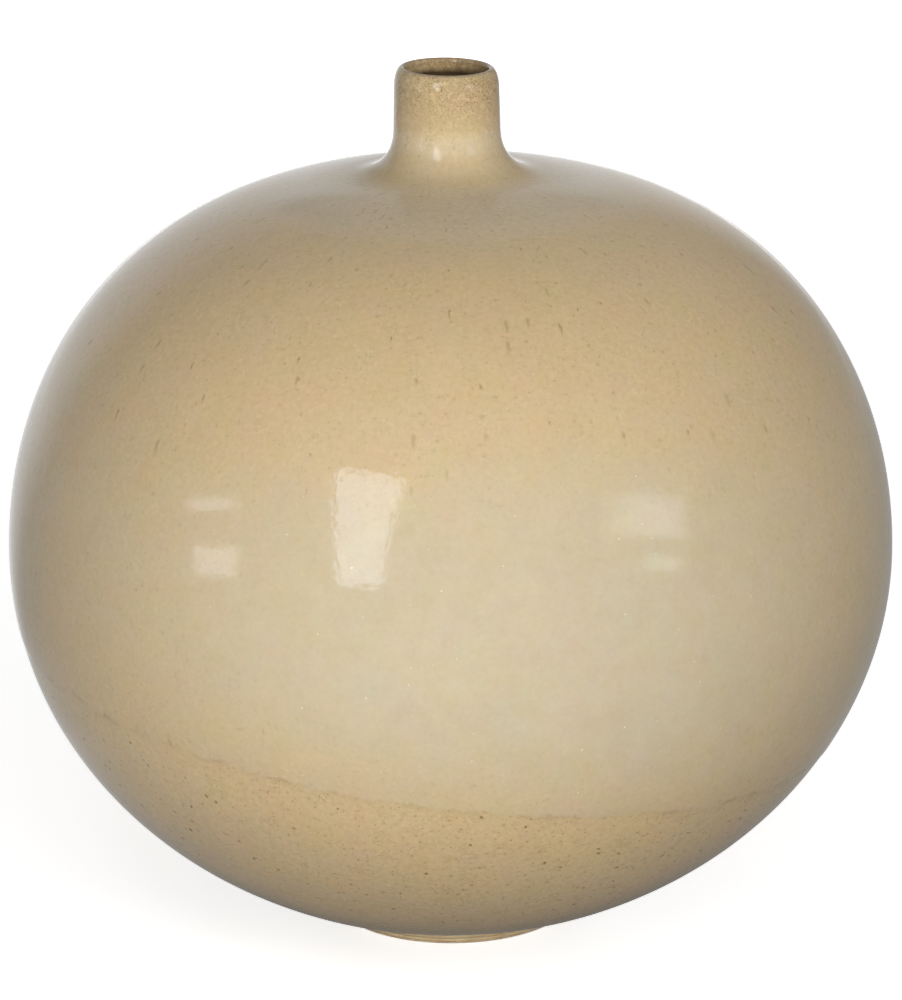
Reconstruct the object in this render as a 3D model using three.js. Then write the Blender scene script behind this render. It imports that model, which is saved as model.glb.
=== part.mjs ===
// Globe bottle vase in wheel-thrown stoneware, as the sections that a potter lutes together.
// Millimetres, +Z up, origin at the centre of the plane that the foot stands on.
// Every section is turned on the same axis from a profile of radius against height.
import * as THREE from "three";

// Foot
const footDiameter = 106; // outside, at the standing plane
const footRingWidth = 9; // breadth of the standing face and its two bevels
const footRingHeight = 7.7;
const footBevel = 1;
const footSpread = 7; // how far the ring flares out to meet the bowl

// Globe
const bellyDiameter = 380;
const lowerDepth = 166; // half axis of the lower half, an ellipse
const upperRise = 164; // belly to crown
const shoulderFullness = 2.6; // 2 would make the upper half an ellipse too
const bellyWall = 7;
const crownWall = 9;
const floorThickness = 9;

// Neck
const mouthDiameter = 35;
const neckWall = 4.3;
const neckTaper = 0.4; // growth in radius from the lip down to the flare
const neckStraight = 17.2; // plain length between the flare and the lip
const flareRise = 21.4;
const flareSpread = 21.8;
const lipHeight = 8; // how far down the outside the lip is rounded
const lipInnerDrop = 1.5; // the same on the inside
const lipCrest = 0.3; // share of the wall between the bore and the highest part of the lip

// Luted joints: a bed of slip lies between each pair of sections
const slipBed = 0.8;
const bellyGrooveWidth = 3;
const bellyGrooveDepth = 3;
const shoulderHoleMargin = 1.5; // the hole in the shoulder is wider than the bore by this

// Facets
const turnSegments = 60;
const globeSteps = 15;
const innerSteps = 12;
const flareSteps = 6;
const lipSteps = 4;

// Radii and heights that follow from the sizes above
const globeRadius = bellyDiameter / 2;
const innerRadius = globeRadius - bellyWall;
const footRadius = footDiameter / 2;
const footInnerRadius = footRadius - footRingWidth;
const baseRadius = footRadius + footSpread;
const baseZ = footRingHeight + slipBed;
const floorZ = baseZ + floorThickness;
const bellyZ = baseZ + lowerDepth * Math.sqrt(1 - (baseRadius / globeRadius) ** 2);
const boreRadius = mouthDiameter / 2;
const lipRadius = boreRadius + neckWall * lipCrest;
const neckTopRadius = boreRadius + neckWall;
const neckRootRadius = neckTopRadius + neckTaper;
const skirtRadius = neckRootRadius + flareSpread;
const shoulderHoleRadius = boreRadius + shoulderHoleMargin;

const at = (radius, height) => new THREE.Vector2(radius, height);

// Points of a curve of angle, from one angle to another, both ends included
function sweep(from, to, steps, point) {
  return Array.from({ length: steps + 1 }, (_, i) => point(from + ((to - from) * i) / steps));
}

// Lower half of the globe: an ellipse, by angle below the belly
const lowerCurve = (radius, depth) => (angle) =>
  at(radius * Math.cos(angle), bellyZ - depth * Math.sin(angle));

// Upper half: a fuller curve than an ellipse, by angle above the belly
const upperCurve = (radius, rise) => (angle) =>
  at(radius * Math.cos(angle) ** (2 / shoulderFullness), bellyZ + rise * Math.sin(angle));
const upperAngleAt = (radius, ofRadius) =>
  Math.acos((radius / ofRadius) ** (shoulderFullness / 2));

// Where the outside of the crown runs, and its slope, at a given radius
const crownZ = (radius) => upperCurve(globeRadius, upperRise)(upperAngleAt(radius, globeRadius)).y;
function crownSlope(radius) {
  const share = radius / globeRadius;
  const fall = (upperRise / globeRadius) * (shoulderFullness / 2) * share ** (shoulderFullness - 1);
  return -fall / Math.sqrt(1 - share ** shoulderFullness);
}

// Heights of the neck's seat, a rebate cut halfway through the crown's wall, and of the neck on it
const skirtZ = crownZ(skirtRadius);
const innerRise = upperRise - crownWall;
const holeAngle = upperAngleAt(shoulderHoleRadius, innerRadius);
const crownInsideZ = upperCurve(innerRadius, innerRise)(holeAngle).y;
const seatZ = (skirtZ + crownInsideZ) / 2;
const neckBaseZ = seatZ + slipBed;
const flareTopZ = skirtZ + flareRise;
const lipStartZ = flareTopZ + neckStraight;
const rimZ = lipStartZ + lipHeight;

// The belly joint's face on the lower section, from outside to inside: a groove between two lands.
// The upper section has the same face one slip bed higher, so its ridge sits in the groove.
function bellyFace(lift) {
  const middle = globeRadius - bellyWall / 2;
  const z = bellyZ + lift;
  return [
    at(globeRadius, z),
    at(middle + bellyGrooveWidth / 2, z),
    at(middle, z - bellyGrooveDepth),
    at(middle - bellyGrooveWidth / 2, z),
    at(innerRadius, z),
  ];
}

// A quadratic flare between an upright wall and a sloping surface, tangent to both
function flare(wallRadius, wallZ, endRadius, endZ, endSlope) {
  const corner = at(wallRadius, endZ - endSlope * (endRadius - wallRadius));
  return new THREE.QuadraticBezierCurve(at(wallRadius, wallZ), corner, at(endRadius, endZ)).getPoints(flareSteps);
}

// A quarter ellipse of the lip, between the crest and a wall on either side of it
function lipQuarter(wallRadius, drop) {
  const breadth = wallRadius - lipRadius;
  return sweep(0, Math.PI / 2, lipSteps, (angle) =>
    at(lipRadius + breadth * Math.cos(angle), rimZ - drop * (1 - Math.sin(angle))),
  );
}

// Profiles run up the outside and down the inside, so that faces point outwards
function footRingProfile() {
  const lowerSlope = (lowerDepth / globeRadius) * (baseRadius / globeRadius)
    / Math.sqrt(1 - (baseRadius / globeRadius) ** 2);
  return [
    at(footInnerRadius + footBevel, 0),
    at(footRadius - footBevel, 0),
    ...flare(footRadius, footBevel, baseRadius, footRingHeight, lowerSlope),
    at(footInnerRadius, footRingHeight),
    at(footInnerRadius, footBevel),
    at(footInnerRadius + footBevel, 0),
  ];
}

function footSlipProfile() {
  return [
    at(footInnerRadius, footRingHeight),
    at(baseRadius, footRingHeight),
    at(baseRadius, baseZ),
    at(footInnerRadius, baseZ),
    at(footInnerRadius, footRingHeight),
  ];
}

function lowerBowlProfile() {
  const baseAngle = Math.acos(baseRadius / globeRadius);
  const innerDepth = lowerDepth - bellyWall;
  const floorAngle = Math.asin((bellyZ - floorZ) / innerDepth);
  return [
    at(0, baseZ),
    ...sweep(baseAngle, 0, globeSteps, lowerCurve(globeRadius, lowerDepth)).slice(0, -1),
    ...bellyFace(0),
    ...sweep(0, floorAngle, innerSteps, lowerCurve(innerRadius, innerDepth)).slice(1),
    at(0, floorZ),
  ];
}

function bellySlipProfile() {
  const under = bellyFace(0);
  return [...under.toReversed(), ...bellyFace(slipBed), under.at(-1)];
}

function upperDomeProfile() {
  const outerStart = Math.asin(slipBed / upperRise);
  const outerEnd = upperAngleAt(skirtRadius + slipBed, globeRadius);
  const innerStart = Math.asin(slipBed / innerRise);
  const face = bellyFace(slipBed);
  return [
    ...face.toReversed(),
    ...sweep(outerStart, outerEnd, globeSteps, upperCurve(globeRadius, upperRise)).slice(1),
    at(skirtRadius + slipBed, seatZ),
    at(shoulderHoleRadius, seatZ),
    ...sweep(holeAngle, innerStart, innerSteps, upperCurve(innerRadius, innerRise)).slice(0, -1),
    face.at(-1),
  ];
}

function neckSlipProfile() {
  return [
    at(shoulderHoleRadius, seatZ),
    at(skirtRadius + slipBed, seatZ),
    at(skirtRadius + slipBed, crownZ(skirtRadius + slipBed)),
    at(skirtRadius, skirtZ),
    at(skirtRadius, neckBaseZ),
    at(shoulderHoleRadius, neckBaseZ),
    at(shoulderHoleRadius, seatZ),
  ];
}

function neckProfile() {
  const skirt = flare(neckRootRadius, flareTopZ, skirtRadius, skirtZ, crownSlope(skirtRadius));
  return [
    at(boreRadius, neckBaseZ),
    at(skirtRadius, neckBaseZ),
    ...skirt.toReversed(),
    ...lipQuarter(neckTopRadius, lipHeight),
    ...lipQuarter(boreRadius, lipInnerDrop).toReversed().slice(1),
    at(boreRadius, neckBaseZ),
  ];
}

// A profile turned about the axis, which LatheGeometry lays along Y, and stood up along Z
function turned(name, profile, material) {
  const geometry = new THREE.LatheGeometry(profile, turnSegments).rotateX(Math.PI / 2);
  const mesh = new THREE.Mesh(geometry, material);
  mesh.name = name;
  return mesh;
}

const glaze = new THREE.MeshStandardMaterial({ color: 0xcdb88c, roughness: 0.25, metalness: 0 });
const bareClay = new THREE.MeshStandardMaterial({ color: 0xc2a877, roughness: 0.85, metalness: 0 });
const slip = new THREE.MeshStandardMaterial({ color: 0xb89b6c, roughness: 0.9, metalness: 0 });

const vase = new THREE.Group();
vase.add(
  turned("foot_ring", footRingProfile(), bareClay),
  turned("foot_joint_slip", footSlipProfile(), slip),
  turned("lower_bowl", lowerBowlProfile(), glaze),
  turned("belly_joint_slip", bellySlipProfile(), slip),
  turned("upper_dome", upperDomeProfile(), glaze),
  turned("neck_joint_slip", neckSlipProfile(), slip),
  turned("neck", neckProfile(), glaze),
);

export default vase;
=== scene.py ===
from functools import partial
from math import acos, asin, cos, pi, radians, sin, sqrt, tan
import bpy
from mathutils import Matrix, Vector


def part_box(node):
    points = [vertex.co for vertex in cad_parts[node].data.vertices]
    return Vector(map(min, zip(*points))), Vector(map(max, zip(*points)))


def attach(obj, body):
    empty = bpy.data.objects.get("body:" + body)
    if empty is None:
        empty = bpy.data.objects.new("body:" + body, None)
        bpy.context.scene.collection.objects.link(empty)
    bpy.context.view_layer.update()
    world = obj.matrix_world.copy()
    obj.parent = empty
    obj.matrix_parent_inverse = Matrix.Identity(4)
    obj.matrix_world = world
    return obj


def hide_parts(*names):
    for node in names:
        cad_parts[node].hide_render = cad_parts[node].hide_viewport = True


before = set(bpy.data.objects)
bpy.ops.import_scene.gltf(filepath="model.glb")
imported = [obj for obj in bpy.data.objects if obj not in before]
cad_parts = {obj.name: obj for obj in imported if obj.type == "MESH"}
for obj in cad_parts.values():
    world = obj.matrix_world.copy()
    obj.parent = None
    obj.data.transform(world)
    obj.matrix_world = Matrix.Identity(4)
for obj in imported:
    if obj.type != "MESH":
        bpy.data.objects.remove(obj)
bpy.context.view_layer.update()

scene = bpy.context.scene
mm = 0.001
nudge = 0.1 * mm  # small step, for slopes and crisp corners
noiseSpan = (0.3, 0.7)  # where most of a noise's values lie
eased = {"interpolation_type": "SMOOTHSTEP"}


def linear(hexColour):  # sRGB hex to linear RGBA
    parts = [int(hexColour[i:i + 2], 16) / 255 for i in (1, 3, 5)]
    return [c / 12.92 if c <= 0.04045 else ((c + 0.055) / 1.055) ** 2.4 for c in parts] + [1]


def addNode(tree, kind, inputs=(), out=0, **settings):  # a node with its settings, values and links
    node = tree.nodes.new(kind)
    for name, value in settings.items():
        setattr(node, name, value)
    for place, value in inputs.items() if isinstance(inputs, dict) else enumerate(inputs):
        if isinstance(value, bpy.types.NodeSocket):
            tree.links.new(value, node.inputs[place])
        else:
            node.inputs[place].default_value = value
    return node.outputs[out] if node.outputs else node


def trace(start, end, steps, point):  # points of a curve between two values of its parameter
    return [point(start + (end - start) * i / steps) for i in range(steps + 1)]


# The form of the pot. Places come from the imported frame, and walls from the potter's sizes.
bowlLow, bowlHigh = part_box("lower_bowl")
neckLow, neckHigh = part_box("neck")
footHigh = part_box("foot_ring")[1]
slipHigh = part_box("belly_joint_slip")[1]

body = {
    "radius": bowlHigh.x,
    "bellyZ": bowlHigh.z,
    "baseZ": bowlLow.z,
    "baseRadius": footHigh.x,  # where the globe runs into the flare of the foot
    "slip": slipHigh.z - bowlHigh.z,  # bed of slip in each joint
    "upperRise": 164 * mm,
    "fullness": 2.6,  # of the shoulder: 2 would be an ellipse
    "wall": 7 * mm,
    "crownWall": 9 * mm,
    "floor": 9 * mm,
    "grooveWidth": 3 * mm,  # V groove in the joint at the belly
    "grooveDepth": 3 * mm,
    "coat": 0.4 * mm,  # two coats of glaze over the clay
    "segments": 360,
    "bowlSteps": 110,  # points along the outside of the bowl, that of the dome, and their insides
    "domeSteps": 120,
    "insideSteps": 24,
    "weld": 0.002 * mm,
    "sharpAngle": radians(40),  # edges that turn more than this stay crisp
}
radius, bellyZ, slip, coat = body["radius"], body["bellyZ"], body["slip"], body["coat"]
crownZ = bellyZ + body["upperRise"]  # top of the globe's curve, at the root of the neck
body["lowerDepth"] = (bellyZ - body["baseZ"]) / sqrt(1 - (body["baseRadius"] / radius) ** 2)

# The second coat was dipped with the pot held askew, so it ends at a sloping line
tide = {
    "height": 111 * mm,
    "slopeX": -0.143,
    "slopeY": 0.007,
    "ragged": 10 * mm,  # how far the noise pulls the line about
    "raggedSize": 22 * mm,
    "step": 0.3 * mm,  # thickness of the second coat
    "stepWidth": 2.5 * mm,
}


def bowlPoint(angle, r=radius, depth=body["lowerDepth"], skin=0.0):  # angle below the belly
    x, fall = r * cos(angle), depth * sin(angle)
    normal = Vector((x / r ** 2, -fall / depth ** 2)).normalized()
    return x + skin * normal.x, bellyZ - fall + skin * normal.y


def domePoint(angle, r=radius, rise=body["upperRise"], skin=0.0):  # angle above the belly
    power = body["fullness"]
    x, height = r * cos(angle) ** (2 / power), rise * sin(angle)
    normal = Vector((power / r * (x / r) ** (power - 1), 2 * height / rise ** 2)).normalized()
    return x + skin * normal.x, bellyZ + height + skin * normal.y


def domeAngle(x, r=radius):
    return acos((x / r) ** (body["fullness"] / 2))


def bend(start, corner, end, steps, skin=0.0):  # quadratic curve with a skin on its right-hand side
    points = []
    for i in range(steps + 1):
        t = i / steps
        x, z = [(1 - t) ** 2 * a + 2 * t * (1 - t) * b + t * t * c for a, b, c in zip(start, corner, end)]
        way = [(1 - t) * (b - a) + t * (c - b) for a, b, c in zip(start, corner, end)]
        way = Vector(way).normalized()
        points.append((x + skin * way.y, z - skin * way.x))
    return points


def bellyFace(z):  # grooved joint face, from outside to inside
    middle, half = radius - body["wall"] / 2, body["grooveWidth"] / 2
    return [(radius, z), (middle + half, z), (middle, z - body["grooveDepth"]),
            (middle - half, z), (radius - body["wall"], z)]


foot = {
    "radius": 53 * mm,
    "innerRadius": 44 * mm,
    "topZ": footHigh.z,
    "bevel": 1 * mm,
    "glazeZ": 5.0 * mm,  # the glaze stops here, and the clay below is bare
    "glazeRoll": 0.5 * mm,  # thick rounded edge of the glaze
    "rollBulge": 0.55,  # how far it stands out and hangs down, as shares of its thickness
    "rollSag": 0.8,
    "rollTop": 0.3 * mm,  # height over which it thins to the coat
    "glazeWave": 0.35 * mm,  # how far that edge wanders up and down
    "waveSize": 14 * mm,
    "waveRise": 3 * mm,  # height over which the wandering dies out
    "grooves": (1.1 * mm, 2.6 * mm),  # heights of the turning tool's lines on the bare clay
    "grooveDepth": 0.45 * mm,
    "grooveHalf": 0.35 * mm,
    "baseLinePitch": 2.6 * mm,  # turning lines under the base
    "baseLineDepth": 0.15 * mm,
    "baseLineFade": 2 * mm,  # they die out this far inside the ring
    "segments": 360,
    "flareSteps": 40,  # points along each part of the outline
    "bevelSteps": 6,
    "rollSteps": 8,
    "baseSteps": 72,
}


def footFlare(skin=0.0):  # from the bevel of the ring up to the globe
    end = (body["baseRadius"], body["baseZ"])
    slope = body["lowerDepth"] / radius / tan(acos(body["baseRadius"] / radius))
    corner = (foot["radius"], end[1] - slope * (end[0] - foot["radius"]))
    return bend((foot["radius"], foot["bevel"]), corner, end, foot["flareSteps"], skin)


def footProfile():
    outer, inner, bevel, steps = foot["radius"], foot["innerRadius"], foot["bevel"], foot["bevelSteps"]
    outside = []
    for x, z in footFlare():
        cut = max(1 - abs(z - groove) / foot["grooveHalf"] for groove in foot["grooves"])
        outside.append((x - foot["grooveDepth"] * max(0, cut), z))
    rounding = trace(0, pi / 2, steps, lambda a: (outer - bevel * (1 - sin(a)), bevel * (1 - cos(a))))
    innerRounding = trace(pi / 2, 0, steps, lambda a: (
        inner + bevel * (1 - sin(a)), bevel * (1 - cos(a))))
    top = [(body["baseRadius"], foot["topZ"]), (inner, foot["topZ"])]
    return rounding + outside[1:] + top + innerRounding + [rounding[0]]


def underPoint(x):  # turning lines under the base, which die out at the ring
    fade = min(1, max(0, (foot["innerRadius"] - x) / foot["baseLineFade"]))
    line = sin(pi * x / foot["baseLinePitch"]) ** 2
    return x, body["baseZ"] + fade * foot["baseLineDepth"] * line


def bowlProfile():
    innerRadius, innerDepth = radius - body["wall"], body["lowerDepth"] - body["wall"]
    floorZ = body["baseZ"] + body["floor"]
    lapZ = bellyZ + slip  # the glaze laps over the joint
    under = trace(0, body["baseRadius"], foot["baseSteps"], underPoint)
    # the glaze runs over the joint and down the flare of the foot, to a thick edge
    below = [p for p in footFlare() if p[1] > foot["glazeZ"]][::-1]
    over = [p for p in footFlare(coat) if p[1] > foot["glazeZ"] + foot["rollTop"]]
    low, roll = below[-1], foot["glazeRoll"]
    edge = trace(-pi * 0.1, pi * 0.9, foot["rollSteps"], lambda a: (
        low[0] + roll * foot["rollBulge"] * (1 - cos(a)),
        low[1] - roll * sin(a) * foot["rollSag"] + nudge))
    outside = trace(acos(body["baseRadius"] / radius), 0, body["bowlSteps"],
                    lambda a: bowlPoint(a, skin=coat))
    lap = [(radius + coat, lapZ - nudge), (radius + coat, lapZ), (radius, lapZ)]
    inside = trace(0, asin((bellyZ - floorZ) / innerDepth), body["insideSteps"],
                   lambda a: bowlPoint(a, innerRadius, innerDepth))
    return under + below[1:] + edge + over[:-1] + outside + lap + bellyFace(bellyZ) + inside[1:] + [
        (inside[-1][0] / 2, floorZ), (0, floorZ)]


neck = {
    "bore": 17.5 * mm,
    "wall": 4.3 * mm,
    "taper": 0.4 * mm,
    "skirtRadius": neckHigh.x,
    "baseZ": neckLow.z,
    "rimZ": neckHigh.z,
    "flareRise": 21.4 * mm,
    "lipHeight": 8 * mm,
    "lipInnerDrop": 1.5 * mm,
    "lipCrest": 0.3,  # share of the wall between the bore and the highest part of the lip
    "rimTilt": 0.019,  # the mouth was cut a little askew, higher on the left
    "tiltRise": 25 * mm,  # height over which that starts, up to the rim
    "holeRadius": 19 * mm,  # in the crown, under the neck
    "segments": 240,
    "lapSteps": 4,  # points along each part of the outline
    "flareSteps": 40,
    "wallSteps": 12,
    "lipSteps": 20,
    "boreSteps": 14,
}


def domeProfile():
    slipEdge = neck["skirtRadius"] + slip
    innerRadius, innerRise = radius - body["wall"], body["upperRise"] - body["crownWall"]
    seatZ = neck["baseZ"] - slip
    outside = trace(asin(slip / body["upperRise"]), domeAngle(slipEdge), body["domeSteps"],
                    lambda a: domePoint(a, skin=coat))
    outside.insert(1, (outside[0][0], outside[0][1] + nudge))
    inside = trace(domeAngle(neck["holeRadius"], innerRadius), asin(slip / innerRise), body["insideSteps"],
                   lambda a: domePoint(a, innerRadius, innerRise))
    face = bellyFace(bellyZ + slip)[::-1]
    seat = [domePoint(domeAngle(slipEdge)), (slipEdge, seatZ), (neck["holeRadius"], seatZ)]
    return face + outside + seat + inside[:-1] + [face[0]]


def neckProfile():
    skirt, bore, rimZ = neck["skirtRadius"], neck["bore"], neck["rimZ"]
    slipEdge = skirt + slip
    end = domePoint(domeAngle(skirt))
    past = domePoint(domeAngle(skirt + nudge))
    slope = (past[1] - end[1]) / (past[0] - end[0])
    top, root = bore + neck["wall"], bore + neck["wall"] + neck["taper"]
    start = (root, end[1] + neck["flareRise"])
    corner = (root, end[1] - slope * (skirt - root))
    lipZ, crest = rimZ - neck["lipHeight"], bore + neck["wall"] * neck["lipCrest"]
    joint = [(bore, neck["baseZ"]), (skirt, neck["baseZ"]), end, domePoint(domeAngle(slipEdge))]
    lap = trace(domeAngle(slipEdge), domeAngle(skirt), neck["lapSteps"], lambda a: domePoint(a, skin=coat))
    flare = bend(end, corner, start, neck["flareSteps"], coat)
    steps = neck["wallSteps"]  # without its ends, which belong to the flare and the lip
    wall = trace(1 / steps, 1 - 1 / steps, steps - 2, lambda t: (
        root + (top - root) * t + coat, start[1] + (lipZ - start[1]) * t))
    outerLip = trace(0, pi / 2, neck["lipSteps"], lambda a: (
        crest + (top - crest + coat) * cos(a), lipZ + (neck["lipHeight"] + coat) * sin(a)))
    drop = neck["lipInnerDrop"]
    innerLip = trace(pi / 2, 0, neck["lipSteps"], lambda a: (
        crest - (crest - bore) * cos(a), rimZ - drop + (drop + coat) * sin(a)))
    inside = trace(innerLip[-1][1], neck["baseZ"], neck["boreSteps"], lambda z: (bore, z))
    return joint + lap + flare[1:] + wall + outerLip + innerLip[1:] + inside[1:]


# Geometry Nodes: the wheel turns a profile, then the hand and the glaze move its skin a little

def tideDistance(add, here):  # height above the ragged edge of the second coat
    slopes = (-tide["slopeX"], -tide["slopeY"], 1)
    level = add("ShaderNodeVectorMath", [here, slopes], "Value", operation="DOT_PRODUCT")
    wave = add("ShaderNodeTexNoise", {"Vector": here, "Scale": 1 / tide["raggedSize"], "Detail": 5.0,
                                      "Roughness": 0.6})
    pulled = add("ShaderNodeMath", [wave, tide["ragged"], level], operation="MULTIPLY_ADD")
    return add("ShaderNodeMath", [pulled, tide["height"] + tide["ragged"] / 2], operation="SUBTRACT")


def buildWheel():
    tree = bpy.data.node_groups.new("turnOnTheWheel", "GeometryNodeTree")
    add = partial(addNode, tree)
    sockets = {"Profile": "Geometry", "Segments": "Int", "Wobble": "Float", "Wobble Size": "Float",
               "Second Coat": "Float", "Settle Height": "Float", "Glaze Edge": "Float", "Edge Wave": "Float",
               "Rim": "Float", "Rim Tilt": "Float", "Seed": "Float", "Finish": "Material",
               "Bare Clay": "Material", "Bare Radius": "Float", "Bare Height": "Float"}
    ids = {}
    for name, kind in sockets.items():
        socket = tree.interface.new_socket(name, in_out="INPUT", socket_type="NodeSocket" + kind)
        ids[name] = socket.identifier
    tree.interface.new_socket("Piece", in_out="OUTPUT", socket_type="NodeSocketGeometry")
    given = add("NodeGroupInput").node.outputs
    count = add("GeometryNodeAttributeDomainSize", [given["Profile"]], component="MESH")
    columns = add("ShaderNodeMath", [given["Segments"], 1.0], operation="ADD")
    grid = add("GeometryNodeMeshGrid", {"Vertices X": columns, "Vertices Y": count})
    index = add("GeometryNodeInputIndex")
    here = add("GeometryNodeInputPosition")
    row = add("ShaderNodeMath", [index, count], operation="MODULO")
    column = add("ShaderNodeMath", [add("ShaderNodeMath", [index, row], operation="SUBTRACT"), count],
                 operation="DIVIDE")
    share = add("ShaderNodeMath", [column, given["Segments"]], operation="DIVIDE")
    angle = add("ShaderNodeMath", [share, 2 * pi], operation="MULTIPLY")
    point = add("GeometryNodeSampleIndex", {"Geometry": given["Profile"], "Index": row},
                data_type="FLOAT_VECTOR")
    tree.links.new(here, point.node.inputs["Value"])
    turned = add("ShaderNodeVectorRotate", {"Vector": point, "Angle": angle}, rotation_type="Z_AXIS")
    shell = add("GeometryNodeSetPosition", {"Geometry": grid, "Position": turned})
    shell = add("GeometryNodeMergeByDistance", {"Geometry": shell, "Distance": body["weld"]})
    # unevenness left by the hand, always outwards, and the step at the edge of the second coat
    away = add("ShaderNodeVectorMath", [here, (0, 0, bellyZ)], operation="SUBTRACT")
    outward = add("ShaderNodeVectorMath", [away], operation="NORMALIZE")
    density = add("ShaderNodeMath", [1.0, given["Wobble Size"]], operation="DIVIDE")
    hand = add("ShaderNodeTexNoise", {"Vector": here, "W": given["Seed"], "Scale": density, "Detail": 1.0},
               noise_dimensions="4D")
    hand = add("ShaderNodeMath", [hand, given["Wobble"]], operation="MULTIPLY")
    thin = add("ShaderNodeMapRange", [tideDistance(add, here), -tide["stepWidth"], 0.0, -1.0, 0.0], **eased)
    move = add("ShaderNodeMath", [thin, given["Second Coat"], hand], operation="MULTIPLY_ADD")
    across = add("ShaderNodeSeparateXYZ", [here])
    height = across.node.outputs["Z"]
    settle = add("ShaderNodeMapRange", [height, 0.0, given["Settle Height"]], **eased)
    move = add("ShaderNodeMath", [move, settle], operation="MULTIPLY")
    offset = add("ShaderNodeVectorMath", {"Vector": outward, "Scale": move}, operation="SCALE")
    # the lower edge of the glaze wanders, and the mouth is cut a little askew
    wander = add("ShaderNodeTexNoise", {"Vector": here, "Scale": 1 / foot["waveSize"], "Detail": 2.0})
    wander = add("ShaderNodeMapRange", [wander, *noiseSpan, -1.0, 1.0])
    edgeTop = add("ShaderNodeMath", [given["Glaze Edge"], foot["waveRise"]], operation="ADD")
    near = add("ShaderNodeMapRange", [height, given["Glaze Edge"], edgeTop, 1.0, 0.0])
    near = add("ShaderNodeMath", [near, given["Edge Wave"]], operation="MULTIPLY")
    wander = add("ShaderNodeMath", [wander, near], operation="MULTIPLY")
    rimStart = add("ShaderNodeMath", [given["Rim"], neck["tiltRise"]], operation="SUBTRACT")
    askew = add("ShaderNodeMapRange", [height, rimStart, given["Rim"]], **eased)
    askew = add("ShaderNodeMath", [askew, given["Rim Tilt"]], operation="MULTIPLY")
    drop = add("ShaderNodeMath", [across, askew], operation="MULTIPLY")
    lift = add("ShaderNodeMath", [wander, drop], operation="SUBTRACT")
    offset = add("ShaderNodeVectorMath", [offset, add("ShaderNodeCombineXYZ", {"Z": lift})], operation="ADD")
    shell = add("GeometryNodeSetPosition", {"Geometry": shell, "Offset": offset})
    shell = add("GeometryNodeSetShadeSmooth", [shell])
    shell = add("GeometryNodeRealizeInstances", [shell])
    shell = add("GeometryNodeSetMaterial", {"Geometry": shell, "Material": given["Finish"]})
    # the underside stays bare
    level = add("ShaderNodeVectorMath", [here, (1, 1, 0)], operation="MULTIPLY")
    reach = add("ShaderNodeVectorMath", [level], "Value", operation="LENGTH")
    inner = add("ShaderNodeMath", [reach, given["Bare Radius"]], operation="LESS_THAN")
    lower = add("ShaderNodeMath", [height, given["Bare Height"]], operation="LESS_THAN")
    bare = add("ShaderNodeMath", [inner, lower], operation="MULTIPLY")
    shell = add("GeometryNodeSetMaterial", {"Geometry": shell, "Selection": bare,
                                            "Material": given["Bare Clay"]})
    add("NodeGroupOutput", [shell])
    return tree, ids


wheel, wheelIds = buildWheel()


def turnPiece(name, profile, values):
    outline = bpy.data.meshes.new(name)
    outline.from_pydata([(x, 0, z) for x, z in profile], [], [])
    piece = bpy.data.objects.new(name, outline)
    scene.collection.objects.link(piece)
    modifier = piece.modifiers.new("wheel", "NODES")
    modifier.node_group = wheel
    for key, value in values.items():
        modifier[wheelIds[key]] = value
    graph = bpy.context.evaluated_depsgraph_get()
    piece.data = bpy.data.meshes.new_from_object(piece.evaluated_get(graph))
    piece.modifiers.clear()
    piece.data.name = name
    piece.data.set_sharp_from_angle(angle=body["sharpAngle"])
    print("turned", name, len(piece.data.polygons), "faces")
    return piece


def emptyTree(owner):  # gives what adds nodes to it
    owner.use_nodes = True
    owner.node_tree.nodes.clear()
    return partial(addNode, owner.node_tree)


def newMaterial(name):
    material = bpy.data.materials.new(name)
    return material, emptyTree(material)


marks = {
    "smallest": 0.35,  # radius of the smallest, as a share of the largest
    "core": 0.3,  # share of a speck that is solid
    "shoulder": 0.8,  # mean radius where the runs are, as a share of the belly's
    "round": 0.45,  # how far the shortest run is stretched downwards, where 1 is not at all
    "blunt": 0.6,  # and each run upwards
    "faint": 0.45,  # strength of the broadest run
}


def ironSpecks(add, here, cell, size, share):  # round specks up to this radius, in a share of the cells
    distance = add("ShaderNodeTexVoronoi", {"Vector": here, "Scale": 1 / cell})
    chance = add("ShaderNodeSeparateColor", [distance.node.outputs["Color"]])
    reach = [chance.node.outputs["Green"], 0.0, 1.0, marks["smallest"] * size / cell, size / cell]
    reach = add("ShaderNodeMapRange", reach)
    core = add("ShaderNodeMath", [reach, marks["core"]], operation="MULTIPLY")
    speck = add("ShaderNodeMapRange", [distance, core, reach, 1.0, 0.0], **eased)
    kept = add("ShaderNodeMath", [chance, share], operation="LESS_THAN")
    return add("ShaderNodeMath", [speck, kept], operation="MULTIPLY")


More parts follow.
